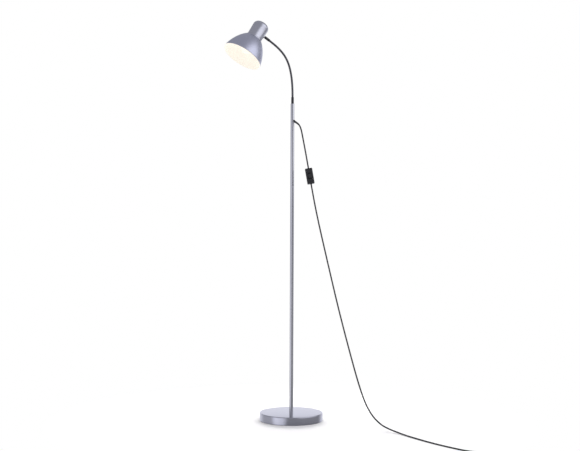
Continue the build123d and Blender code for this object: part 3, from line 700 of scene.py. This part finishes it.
# ------------------------ crown nut
# A turned cap nut with a rounded top. It screws on to the lampholder's nipple and holds the cover down.
nut_radius, nut_height = 0.0056, 0.006
nut_dome, nut_edge = 0.0025, 0.0004
nut_slope_height, nut_slope_inset = 0.0012, 0.0007
crown_nut_outline = rounded([
    (0.0, cover_crown + nut_height), (nut_radius, cover_crown + nut_height, nut_dome),
    (nut_radius, cover_crown + nut_slope_height, nut_edge), (nut_radius - nut_slope_inset, cover_crown),
    (0.0, cover_crown)])
crown_nut = turned("cap_nut", crown_nut_outline, head_nickel, head_place, steps=64)
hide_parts("crown_nut")
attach(crown_nut, "head")


# ------------------------ collar between cover and shade
# A turned aluminium ring, a little wider than the cover, that the shade hangs from. Its rounded edges leave
# a fine line of shadow where it meets the cover and another where it meets the shade.
collar_radius, collar_wall, collar_edge = 0.0306, 0.0054, 0.0013
shade_top = -0.0345
collar_bore = collar_radius - collar_wall
collar_outline = rounded([
    (collar_radius, cover_foot, collar_edge), (collar_radius, shade_top, collar_edge),
    (collar_bore, shade_top, bore_edge), (collar_bore, cover_foot, bore_edge)])
collar = turned("shade_collar_ring", collar_outline, head_nickel, head_place)
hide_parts("shade_collar")
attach(collar, "head")


# ------------------------ shade
# A dome spun from one millimetre aluminium: satin silver lacquer outside, white enamel inside. The enamel's
# cream glow is painted light, an emission that stands in for the lit bulb's light. Its rim is rolled over a wire.
shade_foot = -0.113
shade_radius, shoulder_radius = 0.0735, 0.0355
shade_sheet = 0.001
shoulder_round = 0.0055
dome_bulge, dome_steps, steps_in_corner, least_step = 0.0062, 40, 3, 0.0005
rim_bead, rim_start, rim_sweep, rim_steps = 0.0013, 62.0, -304.0, 14
enamel_on_rim = 5
holder_hole = 0.0201


def shade_wall(inset):
    """The dome's outline from the lampholder's hole over the shoulder to the rim, inset for the inside."""
    start = Vector((shoulder_radius - inset, shade_top - inset))
    end = Vector((shade_radius - inset, shade_foot))
    dome = arched(start, end, dome_bulge, dome_steps)[steps_in_corner:]
    corner = rounded([(holder_hole, shade_top - inset), (*start, shoulder_round - inset), (*dome[0],)])
    return corner[:-1] + [point for point in dome if point.y < corner[-2].y - least_step]


rim_middle = Vector((shade_radius - shade_sheet / 2, shade_foot))
rolled_rim = swept(rim_middle, rim_bead, rim_start, rim_sweep, rim_steps)
outer_wall, inner_wall = shade_wall(0.0), shade_wall(shade_sheet)
shade_outline = outer_wall[:-1] + rolled_rim + list(reversed(inner_wall[:-1]))
silver_lacquer = satin_metal("silver_lacquer", (0.452, 0.462, 0.548), roughness=0.36,
                             grain_scale=1500.0, grain_depth=0.06, lathe=head_place)
# Painted glow: the enamel's cream emission stands in for the bulb's light falling on the inside.
enamel_painted_glow = mottled("enamel_painted_glow", ((0.48, 0.46, 0.425), (0.52, 0.50, 0.46)), scale=900.0,
                     bumps=(0.04, 0.0001), detail=3.0,
                     values={"Roughness": 0.35, "Emission Color": (1.0, 0.925, 0.81, 1.0),
                             "Emission Strength": 0.55})
shade = turned("shade_dome", shade_outline, silver_lacquer, head_place, steps=256)
shade.data.materials.append(enamel_painted_glow)
enamel_start = len(outer_wall) - 1 + enamel_on_rim
for face in shade.data.polygons:
    if face.index % len(shade_outline) >= enamel_start:
        face.material_index = 1
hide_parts("shade")
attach(shade, "head")


# ------------------------ lampholder inside the shade
# A turned lampholder of white heat-proof plastic: a skirt with screw grooves below its flange, and a ring
# with finger grips that is screwed up against the shade's inside.
holder_radius, holder_wall = 0.0198, 0.0018
skirt_foot, skirt_top = shade_top - 0.012, -0.008
flange_radius, flange_height = 0.024, 0.003
groove_pitch, groove_depth = 0.0018, 0.0005
groove_slope = 0.35
clamp_radius, clamp_height = 0.02535, 0.008
clamp_grips, grip_relief, grip_rounding = 24, 0.0006, 0.014
drum_sides, drum_rings = 240, 10

holder_white = mottled("holder_white", ((0.76, 0.75, 0.71), (0.84, 0.83, 0.79)), scale=600.0,
                       bumps=(0.1, 0.0001), values={"Roughness": 0.38})
skirt_outline = [(holder_radius, shade_top), (flange_radius, shade_top),
                 (flange_radius, shade_top + flange_height), (holder_radius, shade_top + flange_height),
                 (holder_radius, skirt_top), (holder_radius - holder_wall, skirt_top),
                 (holder_radius - holder_wall, skirt_foot)]
height = skirt_foot
while height < shade_top - groove_pitch:
    skirt_outline += [(holder_radius - groove_depth, height),
                      (holder_radius, height + groove_pitch * groove_slope),
                      (holder_radius, height + groove_pitch * (1.0 - groove_slope))]
    height += groove_pitch
holder_skirt = turned("holder_skirt", skirt_outline, holder_white, head_place, steps=96)
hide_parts("holder_shell")
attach(holder_skirt, "head")


def grip_tree():
    """A ring with finger grips round it: a drum whose wall is pushed out at each grip and in at both ends."""
    tree, given = opened_tree("gripped_ring", {
        "Float": ("Radius", "Height", "Relief"), "Int": ("Grips",), "Material": ("Material",)})
    drum = fitted(tree, "GeometryNodeMeshCylinder", {
        "Vertices": drum_sides, "Side Segments": drum_rings, "Radius": given["Radius"],
        "Depth": given["Height"]}, fill_type="NGON")
    place = fitted(tree, "GeometryNodeInputPosition", {})
    x, y, z = fitted(tree, "ShaderNodeSeparateXYZ", {0: place}).node.outputs
    angle = reckoned(tree, "ARCTAN2", y, x)
    wave = reckoned(tree, "COSINE", reckoned(tree, "MULTIPLY", angle, given["Grips"]))
    grip = reckoned(tree, "MULTIPLY", wave, given["Relief"])
    level = reckoned(tree, "ABSOLUTE", reckoned(tree, "DIVIDE", z, given["Height"]))
    depth = reckoned(tree, "MULTIPLY_ADD", reckoned(tree, "POWER", level, 4.0), -grip_rounding, grip)
    spoke = fitted(tree, "ShaderNodeVectorMath", {0: place, 1: (1.0, 1.0, 0.0)}, operation="MULTIPLY")
    close_tree(tree, pushed(tree, drum, spoke, depth), given["Material"])
    return tree


clamp_ring = grown("shade_clamp_ring", grip_tree(), {
    "Radius": clamp_radius - grip_relief, "Height": clamp_height, "Relief": grip_relief,
    "Grips": clamp_grips, "Material": holder_white})
clamp_middle = shade_top - shade_sheet - clamp_height / 2
clamp_ring.data.transform(head_place @ Matrix.Translation((0.0, 0.0, clamp_middle)))
clamp_ring.data.shade_smooth()
clamp_ring.data.set_sharp_from_angle(angle=crease)
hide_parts("shade_ring")
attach(clamp_ring, "head")


# ------------------------ bulb
# A small golf-ball bulb of frosted glass on a plated screw cap, alight: the glass glows evenly and hides
# what is in it.
bulb_radius, bulb_middle = 0.0225, Vector((0.0, -0.07415))
bulb_neck_radius, bulb_neck_top, bulb_neck_round = 0.0124, -0.0446, 0.012
ball_start, ball_end, ball_steps = 40.0, -90.0, 40
glow_tones = ((1.0, 0.93, 0.81, 1.0), (1.0, 0.86, 0.68, 1.0))

frosted_glass, tree, shader = finish_of("frosted_glass", {
    "Base Color": (0.30, 0.29, 0.27, 1.0), "Roughness": 0.45, "Emission Strength": 0.85})
facing = fitted(tree, "ShaderNodeLayerWeight", {"Blend": 0.3}, "Facing")
glow = fitted(tree, "ShaderNodeValToRGB", {"Fac": facing})
for element, tone in zip(glow.node.color_ramp.elements, glow_tones):
    element.color = tone
place = fitted(tree, "ShaderNodeTexCoord", {}, "Object")
frost = fitted(tree, "ShaderNodeTexNoise", {"Vector": place, "Scale": 1400.0})
etched = fitted(tree, "ShaderNodeBump", {"Height": frost, "Strength": 0.15, "Distance": 0.0001})
tree.links.new(glow, shader.inputs["Emission Color"])
tree.links.new(etched, shader.inputs["Normal"])

# The glass is a ball from its bottom up to 40 degrees above its middle, and runs on straight to the neck.
ball = swept(bulb_middle, bulb_radius, ball_start, ball_end - ball_start, ball_steps)
ball[-1].x = 0.0
throat = ball[0].y + (ball[0].x - bulb_neck_radius) / math.tan(math.radians(ball_start))
bulb_outline = rounded([(0.0, bulb_neck_top), (bulb_neck_radius, bulb_neck_top),
                        (bulb_neck_radius, throat, bulb_neck_round), (*ball[0],)])[:-1] + ball
bulb = turned("frosted_bulb", bulb_outline, frosted_glass, head_place, steps=96)
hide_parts("bulb_glass")
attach(bulb, "head")


# ------------------------ strain relief in the pole
# Black moulded rubber: a round flange pressed into the pole's wall and a ribbed tail that follows the cord
# through its first bend.
gland_radius, gland_edge = 0.0047, 0.0006
gland_reach, gland_sunk = 0.0014, 0.0032
boot_root, boot_tip = 0.0041, 0.0031
boot_ribs, boot_rib_depth = 8, 0.00035
seat_behind_tip, boot_behind_tip = 0.008, 0.007
gland_up = (hang(*upper_points[0]) - gland_tip).normalized()
gland_seat = gland_tip - gland_up * seat_behind_tip
gland_place = standing(gland_seat, gland_up, upward)

moulded_black = mottled("moulded_black", ((0.010, 0.010, 0.011), (0.024, 0.024, 0.026)), scale=1600.0,
                        bumps=(0.25, 0.0001), values={}, detail=3.0, gloss=(0.30, 0.46))
flange_outline = rounded([(0.0, gland_reach), (gland_radius, gland_reach, gland_edge),
                          (gland_radius, -gland_sunk), (0.0, -gland_sunk)])
gland_flange = turned("gland_flange", flange_outline, moulded_black, gland_place, steps=48)
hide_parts("cord_gland")
flat_exit, flat_bend, flat_next = [Vector((distance, 0.0, height))
                                   for distance, height in (gland_exit, *upper_points[:2])]
flat_start = flat_exit - (flat_bend - flat_exit).normalized() * boot_behind_tip
gland_boot = grown("gland_boot", wound_neck, {
    "Start": flat_start, "Bend": flat_bend, "End": (flat_bend + flat_next) / 2, "Radius": boot_root,
    "Taper": boot_root - boot_tip, "Relief": boot_rib_depth, "Turns": boot_ribs, "Helix": 0.0,
    "Material": moulded_black})
gland_boot.data.transform(Matrix.Rotation(cord_heading, 4, "Z"))
for piece in (gland_flange, gland_boot):
    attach(piece, "stand")


# ------------------------ inner cable
# A thin black cable runs from the strain relief up the pole, through the neck and over the lampholder to its
# terminals. It comes in lengths like the neck's own, one over each hinge.
cable_radius, cable_bend, cable_steps = 0.0016, 0.0034, 4
beside_holder, over_holder = 0.0201, 0.0222
terminal_offset, terminal_top = 0.0095, -0.00305


def cornered(points):
    """A route's points with one more on each side of every corner, so that a cable keeps close to them."""
    route = points[:1]
    for before, corner, after in zip(points, points[1:], points[2:]):
        route += [corner + (before - corner).normalized() * cable_bend, corner,
                  corner + (after - corner).normalized() * cable_bend]
    return route + points[-1:]


inside_pole = gland_tip - gland_up * (gland_exit[0] / gland_up.xy.length)
head_middle = head_place.to_translation()
holder_side = head_middle - neck_out * beside_holder
terminal = head_middle + Vector((head_up.z, 0.0, -head_up.x)) * terminal_offset
head_route = [neck_top, holder_side, holder_side + head_up * over_holder, terminal + head_up * over_holder,
              terminal + head_up * terminal_top]
pole_route = [gland_seat, inside_pole, neck_foot]
pole_run = cord_line("inner_cable_in_pole", cornered(pole_route), cord_black, cable_radius)
head_run = cord_line("inner_cable_in_head", cornered(head_route), cord_black, cable_radius)
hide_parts("inner_cable")
for run, body in ((pole_run, "stand"), (head_run, "head")):
    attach(run, body)
for index, span in enumerate(spans, 1):
    run = neck_length(f"inner_cable_{index}", span, {
        "Radius": cable_radius, "Relief": 0.0, "Turns": cable_steps, "Helix": 0.0, "Material": cord_black})


# ------------------------ inline switch case
# Two black plastic shells, moulded with rounded edges and screwed together from behind. A fine groove marks
# where they meet, and a round collar stands at each end where the cord goes in.
case_width, case_length, case_depth = 0.0265, 0.057, 0.020
case_corner, case_edge = 0.003, 0.002
seam = 0.00025
window_width, window_length, window_corner = 0.0116, 0.021, 0.0008
window_edge, window_floor = 0.0005, 0.0045
cord_collar_reach, cord_collar_radius, cord_collar_edge = 0.001, 0.0046, 0.0004
case_up = (along_switch(-1.0) - along_switch(1.0)).normalized()
case_heading = math.radians(-120.0)
case_look = Vector((math.cos(case_heading), math.sin(case_heading), 0.0))
case_face = (case_look - case_up * case_look.dot(case_up)).normalized()
case_place = standing(along_switch(0.0), case_face, case_up)


def rectangle(width, length, corner):
    """A rectangle's outline about its middle, with rounded corners."""
    x, y = width / 2, length / 2
    return rounded([(-x, -y, corner), (x, -y, corner), (x, y, corner), (-x, y, corner)])


def eased(depth, edge, steps=6):
    """The insets and heights that round a moulded piece's edge, up to its face at a depth."""
    angles = [math.radians(90 * step / steps) for step in range(steps + 1)]
    return [(edge * (1 - math.cos(angle)), depth - edge * (1 - math.sin(angle))) for angle in angles]


def moulded(name, rings, place, finish=None):
    """A moulded piece: rings of (outline, inset, height), bridged one to the next and closed at both ends."""
    bm = bmesh.new()
    loops = []
    for outline, inset, height in rings:
        loop = []
        for index, point in enumerate(outline):
            run = outline[(index + 1) % len(outline)] - outline[index - 1]
            inward = Vector((-run.y, run.x)).normalized()
            loop.append(bm.verts.new((*(point + inward * inset), height)))
        loops.append(loop)
    for here, there in zip(loops, loops[1:]):
        for index in range(len(here)):
            bm.faces.new((here[index - 1], here[index], there[index], there[index - 1]))
    bm.faces.new(loops[0])
    bm.faces.new(loops[-1])
    return closed(name, bm, place, finish)


def carved(piece, cutter, cutter_crosses_itself=False):
    """The mesh that is left of a piece when a cutter is taken out of it. The cutter is used up."""
    cut = piece.modifiers.new("cut", "BOOLEAN")
    cut.object = cutter
    cut.solver = "EXACT"
    cut.use_self = cutter_crosses_itself
    bpy.context.view_layer.update()
    mesh = bpy.data.meshes.new_from_object(piece.evaluated_get(bpy.context.evaluated_depsgraph_get()))
    piece.modifiers.remove(cut)
    bpy.data.objects.remove(cutter)
    return mesh


case_outline = rectangle(case_width, case_length, case_corner)
window_outline = rectangle(window_width, window_length, window_corner)
case_rings = [(seam, 0.0), (0.0, seam), *eased(case_depth / 2, case_edge)]
front_rings = [(case_outline, inset, height) for inset, height in case_rings]
front_rings += [(window_outline, -window_edge, case_depth / 2),
                (window_outline, 0.0, case_depth / 2 - window_edge), (window_outline, 0.0, window_floor)]
front_case = moulded("switch_case_front", front_rings, case_place)
back_rings = [(case_outline, inset, -height) for inset, height in case_rings]
back_case = moulded("switch_case_back", back_rings, case_place)

screw_spacing, screw_well_radius, screw_well_depth = 0.046, 0.00245, 0.002
screw_seats = [(side, Matrix.Translation((0.0, side * screw_spacing / 2, -case_depth / 2)))
               for side in (-1, 1)]
wells = bmesh.new()
for side, seat in screw_seats:
    bmesh.ops.create_cone(wells, cap_ends=True, segments=32, radius1=screw_well_radius,
                          radius2=screw_well_radius, depth=2 * screw_well_depth, matrix=seat)
wells.transform(case_place)
back_case.data = carved(back_case, finished("screw_wells", wells))
back_case.data.set_sharp_from_angle(angle=crease)

case_steel = satin_metal("case_steel", (0.60, 0.61, 0.62), roughness=0.26,
                         grain_scale=(1800.0, 1800.0, 1800.0), grain_depth=0.08)
screw_radius, screw_rim, screw_crown = 0.0021, 0.0004, 0.00144
screw_bulge, screw_steps = 0.00025, 8
shank_radius, shank_length = 0.0011, 0.0015
slot_length, slot_width, slot_depth = 0.00336, 0.0006, 0.0006
first_slot, second_slot, screw_turn = 30, 120, 25
head_arc = arched((screw_radius, -screw_rim), (0.0, -screw_crown), screw_bulge, screw_steps)
screw_outline = rounded([(0.0, shank_length), (shank_radius, shank_length), (shank_radius, 0.0),
                         (screw_radius, 0.0), *[(*point,) for point in head_arc[:-1]], (0.0, -screw_crown)])
both_screws = bmesh.new()
for side, seat in screw_seats:
    screw_place = case_place @ seat @ Matrix.Translation((0.0, 0.0, screw_well_depth))
    one_screw = turned("one_screw", screw_outline, place=screw_place, steps=40)
    cross = bmesh.new()
    for slot in (first_slot, second_slot):
        slot_place = (screw_place @ Matrix.Translation((0.0, 0.0, -screw_crown))
                      @ Matrix.Rotation(math.radians(slot + screw_turn * side), 4, "Z"))
        bmesh.ops.create_cube(cross, size=1.0, matrix=slot_place
                              @ Matrix.Diagonal((slot_length, slot_width, 2 * slot_depth, 1.0)))
    both_screws.from_mesh(carved(one_screw, finished("cross_slots", cross), cutter_crosses_itself=True))
    bpy.data.objects.remove(one_screw)
pan_heads = finished("switch_pan_heads", both_screws, case_steel)
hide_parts("switch_screws")
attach(pan_heads, "stand")

collar_half = case_length / 2 + cord_collar_reach
grip_outline = rounded([(0.0, collar_half), (cord_collar_radius, collar_half, cord_collar_edge),
                        (cord_collar_radius, -collar_half, cord_collar_edge), (0.0, -collar_half)])
along_case = case_place @ Matrix.Rotation(math.radians(90), 4, "X")
cord_collars = turned("switch_cord_collars", grip_outline, place=along_case, steps=48)
for piece, node in ((front_case, "switch_shell_front"), (back_case, "switch_shell_back"),
                    (cord_collars, None)):
    piece.data.materials.clear()
    piece.data.materials.append(moulded_black)
    if node:
        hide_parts(node)
    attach(piece, "stand")


# ------------------------ switch rocker
# A moulded rocker on a steel pin, round about the pin, with two faces that meet in a shallow valley. One
# end is pressed in. Its outline lies across the pin, so the piece is made flat and stood on its side.
rocker_radius, rocker_width, rocker_edge = 0.0102, 0.011, 0.0005
rocker_pivot = 0.005
rocker_steps, rocker_edge_steps = 12, 3
rocker_lean = math.radians(7.0)
valley, cut_floor = 0.0062, -0.0026
crest = Vector((0.007324, 0.0071))
floor_half = math.sqrt(rocker_radius ** 2 - cut_floor ** 2)
crest_angle = math.degrees(math.atan2(crest.y, -crest.x))
floor_angle = math.degrees(math.atan2(cut_floor, -floor_half)) + 360.0
left_rim = swept(Vector((0.0, 0.0)), rocker_radius, crest_angle, floor_angle - crest_angle, rocker_steps)
rocker_outline = [Vector((0.0, valley)), *left_rim,
                  *[Vector((-point.x, point.y)) for point in reversed(left_rim)]]
rocker_rings = eased(rocker_width / 2, rocker_edge, rocker_edge_steps)
side_rings = [(rocker_outline, inset, -height) for inset, height in reversed(rocker_rings)]
side_rings += [(rocker_outline, inset, height) for inset, height in rocker_rings]
on_pin = Matrix(((0, 0, 1, 0), (1, 0, 0, 0), (0, 1, 0, 0), (0, 0, 0, 1)))
rocker_place = (case_place @ Matrix.Translation((0.0, 0.0, rocker_pivot))
                @ Matrix.Rotation(-rocker_lean, 4, "X") @ on_pin)
rocker = moulded("rocker_button", side_rings, rocker_place, moulded_black)
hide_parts("switch_rocker")
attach(rocker, "rocker")


# ------------------------ plug
# A moulded plug for a two-pin mains socket: a flat tapered body with a fine parting groove, a ribbed tail
# over the cord, and two round pins sleeved in black for half their length.
plug_forward = Vector((cord_end[0] - plug_approach[0], cord_end[1] - plug_approach[1], 0.0)).normalized()
plug_place = standing((*cord_end, plug_height), upward, upward.cross(plug_forward))
tail_length, tail_root, tail_tip = 0.024, 0.0052, 0.0033
tail_ribs, tail_rib_depth, tail_in_body = 9, 0.0005, 0.001
plug_rear, plug_waist, plug_front = 0.024, 0.049, 0.060
plug_rear_width, plug_width, plug_thickness = 0.013, 0.026, 0.0137
plug_corner, plug_waist_round, plug_edge = 0.0025, 0.006, 0.002
plug_outline = rounded([
    (plug_rear, -plug_rear_width / 2, plug_corner), (plug_waist, -plug_width / 2, plug_waist_round),
    (plug_front, -plug_width / 2, plug_corner), (plug_front, plug_width / 2, plug_corner),
    (plug_waist, plug_width / 2, plug_waist_round), (plug_rear, plug_rear_width / 2, plug_corner)])
half_rings = [(seam, 0.0), (0.0, seam), *eased(plug_thickness / 2, plug_edge)]
plug_rings = [(plug_outline, inset, -height) for inset, height in reversed(half_rings)]
plug_rings += [(plug_outline, inset, height) for inset, height in half_rings[1:]]
plug_shell = moulded("plug_shell", plug_rings, plug_place, moulded_black)
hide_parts("plug_body")

plug_tail = grown("plug_tail", wound_neck, {
    "Start": Vector((0.0, 0.0, 0.0)), "Bend": Vector((tail_length / 2, 0.0, 0.0)),
    "End": Vector((tail_length + tail_in_body, 0.0, 0.0)), "Radius": tail_tip, "Taper": tail_tip - tail_root,
    "Relief": tail_rib_depth, "Turns": tail_ribs, "Helix": 0.0, "Material": moulded_black})
plug_tail.data.transform(plug_place)
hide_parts("plug_relief")

pin_radius, pin_length, pin_spacing = 0.002, 0.019, 0.019
pin_tip_round, pin_in_body = 0.001, 0.001
sleeve_length, sleeve_step, sleeve_edge = 0.010, 0.00012, 0.0001
bare_radius = pin_radius - sleeve_step
pin_outline = rounded([(0.0, -pin_in_body), (pin_radius, -pin_in_body),
                       (pin_radius, sleeve_length, sleeve_edge), (bare_radius, sleeve_length),
                       (bare_radius, pin_length, pin_tip_round), (0.0, pin_length)])
pin_brass = satin_metal("pin_brass", (0.72, 0.66, 0.50), roughness=0.22,
                        grain_scale=(1200.0, 1200.0, 1200.0), grain_depth=0.05)
both_pins = bmesh.new()
for side in (-1, 1):
    pin_place = (plug_place @ Matrix.Translation((plug_front, side * pin_spacing / 2, 0.0))
                 @ Matrix.Rotation(math.radians(90), 4, "Y"))
    one_pin = turned("one_pin", pin_outline, place=pin_place, steps=40)
    both_pins.from_mesh(one_pin.data)
    bpy.data.objects.remove(one_pin)
plug_pins = finished("contact_pins", both_pins, pin_brass)
plug_pins.data.materials.append(moulded_black)
for face in plug_pins.data.polygons:
    if (plug_place.inverted() @ face.center).x < plug_front + sleeve_length:
        face.material_index = 1
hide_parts("plug_pins")
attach(plug_pins, "stand")
for piece, slot in ((plug_shell, "switch_plastic"), (plug_tail, "cord_plastic")):
    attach(piece, "stand")


# ------------------------ fasteners and inner parts
# The ballast is cast concrete, the fasteners are zinc-plated steel, and the lampholder holds a glazed
# ceramic core with brass contacts. These show where the lamp is opened or seen from below.
mineral, metallic = 0.0, 1.0
coarse_detail, coarse_bump, coarse_band = 6.0, 0.0003, (0.35, 0.65)
inner_looks = {
    "ballast": ("cast_ballast", (0.30, 0.29, 0.27), (0.46, 0.45, 0.42), 180.0, 0.9, 0.6, mineral),
    "hardware": ("zinc_plate", (0.50, 0.51, 0.52), (0.66, 0.67, 0.68), 400.0, 0.32, 0.1, metallic),
    "core_ceramic": ("glazed_core", (0.80, 0.78, 0.73), (0.88, 0.86, 0.82), 250.0, 0.18, 0.05, mineral),
    "contact_metal": ("contact_brass", (0.62, 0.50, 0.24), (0.76, 0.64, 0.34), 500.0, 0.28, 0.1, metallic),
    "bulb_metal": ("bulb_cap_metal", (0.66, 0.66, 0.66), (0.80, 0.80, 0.80), 500.0, 0.25, 0.1, metallic),
}
inner_finishes = {"holder_plastic": holder_white, "cord_plastic": cord_black}
for slot, (name, dark, light, scale, roughness, bumps, metal) in inner_looks.items():
    inner_finishes[slot] = mottled(name, (dark, light), scale, (bumps, coarse_bump),
                                   {"Metallic": metal, "Roughness": roughness},
                                   detail=coarse_detail, band=coarse_band)
for part in frame["record"]["subparts"]:
    if part["material_slot"] in inner_finishes:
        node = frame["nodes"][part["node"]]
        node.data.materials.clear()
        node.data.materials.append(inner_finishes[part["material_slot"]])
